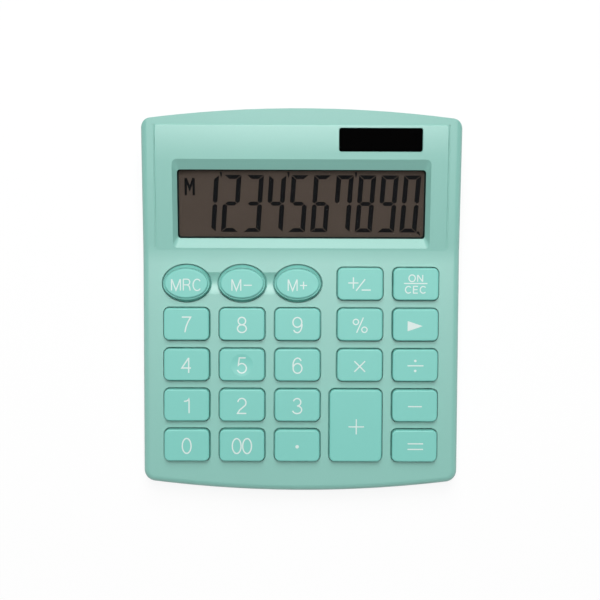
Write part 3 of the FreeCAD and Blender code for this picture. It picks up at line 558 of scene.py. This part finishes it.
LEGEND_LINES = {
    "key_mrc": word("MRC"),
    "key_m_minus": word("M-"),
    "key_m_plus": word("M+"),
    "key_sign": (plus_sign(-2.25, 0.35, 3.3, 3.7) + bar(-1.35, -2.2, 1.55, 1.55)
                 + bar(0.45, -1.95, 3.4, -1.95)),
    "key_on": (small_word("ON", 1.95) + bar(-3.9, 0.25, 3.7, 0.25, SMALL_STROKE)
               + small_word("CEC", -1.8)),
    "key_percent": small_ring(-1.35, 0.95) + small_ring(1.45, -1.6) + bar(-1.1, -2.6, 1.1, 2.4),
    "key_back": [],
    "key_multiply": bar(-1.75, -2.1, 1.75, 1.4) + bar(-1.75, 1.4, 1.75, -2.1),
    "key_divide": bar(-2.5, -0.05, 2.7, -0.05),
    "key_minus": bar(-2.2, -0.2, 2.3, -0.2),
    "key_plus": plus_sign(0.2, -0.3, 5.1, 5.0),
    "key_equals": bar(-2.25, 0.8, 2.85, 0.8) + bar(-2.25, -1.05, 2.85, -1.05),
    "key_point": [],
    "key_00": number("00", ZEROS_GAP),
}
for digit in "0123456789":
    LEGEND_LINES["key_" + digit] = number(digit)

LEGEND_SPOTS = {
    "key_divide": [ring(0.0, 1.55, 0.42, 0.42), ring(0.0, -1.75, 0.42, 0.42)],
    "key_point": [ring(0.0, -0.3, 0.58, 0.58)],
    "key_back": [[(-2.6, 1.3), (-2.6, -2.05), (2.35, -0.35)]],
}


def sink_into_dish(bm):
    """Lets a legend follow the round dish in the key's top."""
    curve = ((DISH_DIAMETER / 2) ** 2 + DISH_DEPTH ** 2) / (2 * DISH_DEPTH)
    for vertex in bm.verts:
        away = math.hypot(vertex.co.x, vertex.co.y)
        if away < DISH_DIAMETER / 2:
            vertex.co.z += curve - DISH_DEPTH - math.sqrt(curve ** 2 - away ** 2)


def make_legends():
    for key in KEYS:
        place = top_of(key, DECK_NORMAL)[0]
        bm = bmesh.new()
        level = INK_HEIGHT
        for points, closed, stroke in LEGEND_LINES[key]:
            ribbon(bm, divided(points, closed, INK_RUN), closed, stroke, -INK_SINK, level)
            level += INK_STEP
        for outline in LEGEND_SPOTS.get(key, []):
            plate(bm, outline, -INK_SINK, level)
            level += INK_STEP
        if key == "key_5":
            sink_into_dish(bm)
        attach(piece_from(bm, "legend_" + key.removeprefix("key_"), LEGEND_INK, place), key)


make_legends()


# Display segments, drawn upright and then leaned over

def mirrored(outline, across=None, up=None):
    """The same outline turned over left to right, upside down, or both."""
    return [(x if across is None else across - x, y if up is None else up - y) for x, y in outline]


def digit_segments():
    """Outline of each of the seven bars, with the digit's lower left corner at zero."""
    wide, tall, gap = DIGIT_WIDTH, DIGIT_HEIGHT, SEGMENT_GAP
    upright, level = UPRIGHT_STROKE, LEVEL_STROKE
    middle = tall / 2
    top = [(gap, tall), (wide - gap, tall),
           (wide - upright - gap, tall - level), (upright + gap, tall - level)]
    side = [(0, tall - gap), (upright, tall - level - gap), (upright, middle + level / 2 + gap),
            (upright / 2, middle + gap), (0, middle + level / 2)]
    bridge = [(upright / 2 + gap, middle), (upright + gap, middle - level / 2),
              (wide - upright - gap, middle - level / 2), (wide - upright / 2 - gap, middle),
              (wide - upright - gap, middle + level / 2), (upright + gap, middle + level / 2)]
    return {"a": top, "d": mirrored(top, up=tall), "g": bridge,
            "f": side, "b": mirrored(side, across=wide),
            "e": mirrored(side, up=tall), "c": mirrored(side, across=wide, up=tall)}


def leaned(outline, x, y):
    return [(x + px + (y + py) * SEGMENT_SLANT, y + py) for px, py in outline]


def digit_right(index):
    return FIRST_DIGIT_RIGHT + index * DIGIT_PITCH


def make_digits(place):
    bars = digit_segments()
    for index, digit in enumerate(SHOWN_NUMBER):
        bm = bmesh.new()
        for name in SEGMENTS_OF[digit]:
            plate(bm, leaned(bars[name], digit_right(index) - DIGIT_WIDTH, 0), 0, SEGMENT_THICKNESS)
        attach(piece_from(bm, f"lcd_digit_{index + 1}", SEGMENT_INK, place), "case")


def make_marks(place):
    """Ticks that part the thousands, and the point after the last digit."""
    bm = bmesh.new()
    across, tall = TICK_SIZE
    for index in TICKS_AFTER:
        left = digit_right(index) + SEGMENT_GAP
        wedge = [(left, tall), (left + across, tall), (left + across, tall * TICK_SHOULDER),
                 (left + across * TICK_TOE, 0)]
        plate(bm, leaned(wedge, 0, DIGIT_HEIGHT - tall / 2), 0, SEGMENT_THICKNESS)
    left = digit_right(len(SHOWN_NUMBER) - 1) + SEGMENT_GAP
    plate(bm, [(left + x, y) for x, y in POINT_OUTLINE], 0, SEGMENT_THICKNESS)
    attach(piece_from(bm, "lcd_marks", SEGMENT_INK, place), "case")


def make_memory_mark(place):
    bm = bmesh.new()
    left, low, across, tall = MEMORY_MARK
    right, high = left + across, low + tall
    level = SEGMENT_THICKNESS
    for points in ([(left, low), (left, high)], [(right, low), (right, high)],
                   [(left, high), (left + across / 2, low + tall * MEMORY_DIP), (right, high)]):
        ribbon(bm, points, False, MEMORY_STROKE, 0, level)
        level += INK_STEP
    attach(piece_from(bm, "lcd_memory_mark", SEGMENT_INK, place), "case")


def make_display():
    """Everything the display shows, on the front glass and with zero at the foot of the digits."""
    place, size = top_of("lcd_front_glass", PANEL_NORMAL)
    front = -size.y / MM / 2 + WINDOW_LIP + DIGITS_BOTTOM
    place = place @ Matrix.Translation((0, front * MM, 0))
    make_digits(place)
    make_marks(place)
    make_memory_mark(place)


make_display()


# Printed border that frames the display, on top of the gasket and just under the window: a dark mint ring of
# painted shade where the window's edge falls into shadow

def rounded_outline(half_x, half_y):
    """Rectangle about zero with round corners."""
    points = []
    for side_x, side_y, start in ((1, 1, 0), (-1, 1, 90), (-1, -1, 180), (1, -1, 270)):
        for x, y in arc(0, 0, BORDER_CORNER, BORDER_CORNER, start, start + 90):
            points.append((side_x * (half_x - BORDER_CORNER) + x, side_y * (half_y - BORDER_CORNER) + y))
    return points


def make_shade_border():
    place, size = top_of("lcd_gasket", PANEL_NORMAL)
    half_x, half_y = size.x / MM / 2, size.y / MM / 2
    outer = rounded_outline(half_x, half_y)
    inner = rounded_outline(half_x - WINDOW_LIP - BORDER_INSIDE, half_y - WINDOW_LIP - BORDER_INSIDE)
    bm = bmesh.new()
    loops = [[bm.verts.new((x, y, z)) for x, y in points]
             for points, z in ((inner, -INK_SINK), (outer, -INK_SINK), (outer, 0.0), (inner, 0.0))]
    count = len(inner)
    for first, second in zip(loops, loops[1:] + loops[:1]):
        for i in range(count):
            j = (i + 1) % count
            bm.faces.new((first[i], first[j], second[j], second[i]))
    place = place @ Matrix.Translation((0, 0, -BORDER_CLEARANCE * MM))
    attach(piece_from(bm, "window_shade_border", BORDER_SHADE_INK, place), "case")


make_shade_border()


# Rubber keypad: a sheet on the board with a dome under every key

def lathe(bm, profile, sides):
    """Closed solid turned about z from a profile of radius and height that starts and ends on the axis."""
    rings = []
    for radius, height in profile:
        if radius == 0.0:
            rings.append([bm.verts.new((0, 0, height))])
        else:
            rings.append([bm.verts.new((x, y, height)) for x, y in ring_of(radius, sides)])
    for first, second in zip(rings, rings[1:]):
        for i in range(sides):
            corners = [first[i % len(first)], first[(i + 1) % len(first)],
                       second[(i + 1) % len(second)], second[i % len(second)]]
            bm.faces.new(list(dict.fromkeys(corners)))


def dome_profile(height):
    """Outside of a dome from its crown down to its foot, then its hollow back up to the axis."""
    foot, crown = DOME_FOOT / 2, DOME_CROWN / 2
    base, roof = DOME_FOOT_STEPS[-1][1], height - 2 * DOME_SKIN
    return ([(0.0, height)] + [(crown + out, height + up) for out, up in DOME_CROWN_STEPS]
            + [(foot + out, up) for out, up in DOME_FOOT_STEPS]
            + [(foot - DOME_SKIN, base), (crown - DOME_SKIN, roof), (0.0, roof)])


def make_domes(sheet_place, centres, height):
    for key, centre in centres.items():
        bm = bmesh.new()
        lathe(bm, dome_profile(height), DOME_SIDES)
        place = sheet_place @ Matrix.Translation((centre.x * MM, centre.y * MM, 0))
        dome = piece_from(bm, "dome_" + key.removeprefix("key_"), KEYPAD_RUBBER_SHADE, place)
        smooth(dome)
        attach(dome, "case")
        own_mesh(dome)


def sheet_holes(centres):
    """Outlines of the openings under the domes, and of those round two posts between the keys."""
    spots = [(centre.x, centre.y, DOME_FOOT / 2 - DOME_SKIN) for centre in centres.values()]
    post_x = (centres["key_9"].x + centres["key_percent"].x) / 2
    rows = [centres[key].y for key in ("key_sign", "key_percent", "key_multiply")]
    spots += [(post_x, (low + high) / 2, POST_HOLE / 2) for low, high in zip(rows[1:], rows)]
    return [[(x + dx, y + dy) for dx, dy in ring_of(radius, DOME_SIDES)] for x, y, radius in spots]


def make_sheet(sheet_place, half_x, half_y, holes):
    outline = [(half_x, half_y), (-half_x, half_y), (-half_x, -half_y), (half_x, -half_y)]
    bm = bmesh.new()
    edges = []
    for points in [outline] + holes:
        corners = [bm.verts.new((x, y, 0)) for x, y in points]
        edges += [bm.edges.new(pair) for pair in zip(corners, corners[1:] + corners[:1])]
    filled = bmesh.ops.triangle_fill(bm, use_beauty=True, use_dissolve=False, edges=edges)
    faces = [item for item in filled["geom"] if isinstance(item, bmesh.types.BMFace)]
    lowered = bmesh.ops.extrude_face_region(bm, geom=faces)
    for item in lowered["geom"]:
        if isinstance(item, bmesh.types.BMVert):
            item.co.z -= SHEET_THICKNESS
    sheet = piece_from(bm, "keypad_sheet", KEYPAD_RUBBER_SHADE, sheet_place)
    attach(sheet, "case")
    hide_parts("rubber_keypad")


def make_keypad():
    place, size = top_of("rubber_keypad", DECK_NORMAL)
    height = size.z / MM - SHEET_THICKNESS
    sheet_place = place @ Matrix.Translation((0, 0, -height * MM))
    back = sheet_place.inverted()
    centres = {key: back @ top_of(key, DECK_NORMAL)[0].translation / MM for key in KEYS}
    make_domes(sheet_place, centres, height)
    make_sheet(sheet_place, size.x / MM / 2, size.y / MM / 2, sheet_holes(centres))


make_keypad()


# Studio

def seen_rays(tree):
    """One for rays that show a surface itself, straight or in a mirror or glass, else zero."""
    rays = tree.nodes.new("ShaderNodeLightPath")
    seen = math_node(tree, "MAXIMUM", rays.outputs["Is Camera Ray"], rays.outputs["Is Glossy Ray"])
    seen = math_node(tree, "MAXIMUM", seen, rays.outputs["Is Transmission Ray"])
    unscattered = math_node(tree, "LESS_THAN", rays.outputs["Diffuse Depth"], 0.5)
    return math_node(tree, "MULTIPLY", seen, unscattered)


def make_floor():
    mesh = bpy.data.meshes.new("floor")
    corners = [(x * FLOOR_HALF, y * FLOOR_HALF, 0) for x, y in ((-1, -1), (1, -1), (1, 1), (-1, 1))]
    mesh.from_pydata(corners, [], [(0, 1, 2, 3)])
    floor = new_object("floor", mesh)
    material, tree, shader = new_material("white_floor")
    add_tone(tree, shader, FLOOR_COLOUR, FLOOR_DRIFT, FLOOR_DRIFT)
    shader.inputs["Roughness"].default_value = FLOOR_ROUGHNESS
    shader.inputs["Specular IOR Level"].default_value = FLOOR_GLOSS
    glow = tree.nodes.new("ShaderNodeEmission")
    share = math_node(tree, "MULTIPLY", seen_rays(tree), FLOOR_GLOW)
    mix_to_output(tree, share, shader.outputs["BSDF"], glow.outputs["Emission"])
    mesh.materials.append(material)


def make_world():
    """Pale studio walls under a dim ceiling: plain to see, and a weak fill as light."""
    world = bpy.data.worlds.new("studio")
    bpy.context.scene.world = world
    world.use_nodes = True
    tree = world.node_tree
    place = tree.nodes.new("ShaderNodeTexCoord")
    split = tree.nodes.new("ShaderNodeSeparateXYZ")
    ramp = tree.nodes.new("ShaderNodeValToRGB")
    seen = math_node(tree, "MULTIPLY", seen_rays(tree), 1.0 - FILL_LEVEL)
    level = math_node(tree, "ADD", seen, FILL_LEVEL)
    tree.links.new(level, tree.nodes["Background"].inputs["Strength"])
    for stop, (position, colour) in zip(ramp.color_ramp.elements, (WALLS, CEILING)):
        stop.position = position
        stop.color = colour
    tree.links.new(place.outputs["Generated"], split.inputs["Vector"])
    tree.links.new(split.outputs["Z"], ramp.inputs["Fac"])
    tree.links.new(ramp.outputs["Color"], tree.nodes["Background"].inputs["Color"])


def soft_box(name, tilt, width, height, watts):
    """Area lamp that looks at the object from tilt degrees off the vertical.

    What lies behind clear plastic gets its light as if the plastic weren't there, and only once.
    """
    data = bpy.data.lights.new(name, "AREA")
    data.shape = "RECTANGLE"
    data.size, data.size_y = width, height
    data.energy = watts
    lamp = new_object(name, data)
    lamp.visible_transmission = False
    aim = Matrix.Rotation(math.radians(tilt), 4, "X")
    lamp.matrix_world = aim @ Matrix.Translation((0, 0, LAMP_DISTANCE))


def make_camera():
    data = bpy.data.cameras.new("camera")
    data.sensor_width = CAMERA_SENSOR
    data.lens = CAMERA_LENS
    camera = new_object("camera", data)
    camera.location = CAMERA_SPOT
    camera.rotation_euler = (0.0, 0.0, CAMERA_TURN)
    bpy.context.scene.camera = camera


make_floor()
make_world()
make_camera()
for lamp_name, facts in SOFT_BOXES.items():
    soft_box(lamp_name, *facts)
bpy.context.scene.view_settings.view_transform = "Standard"
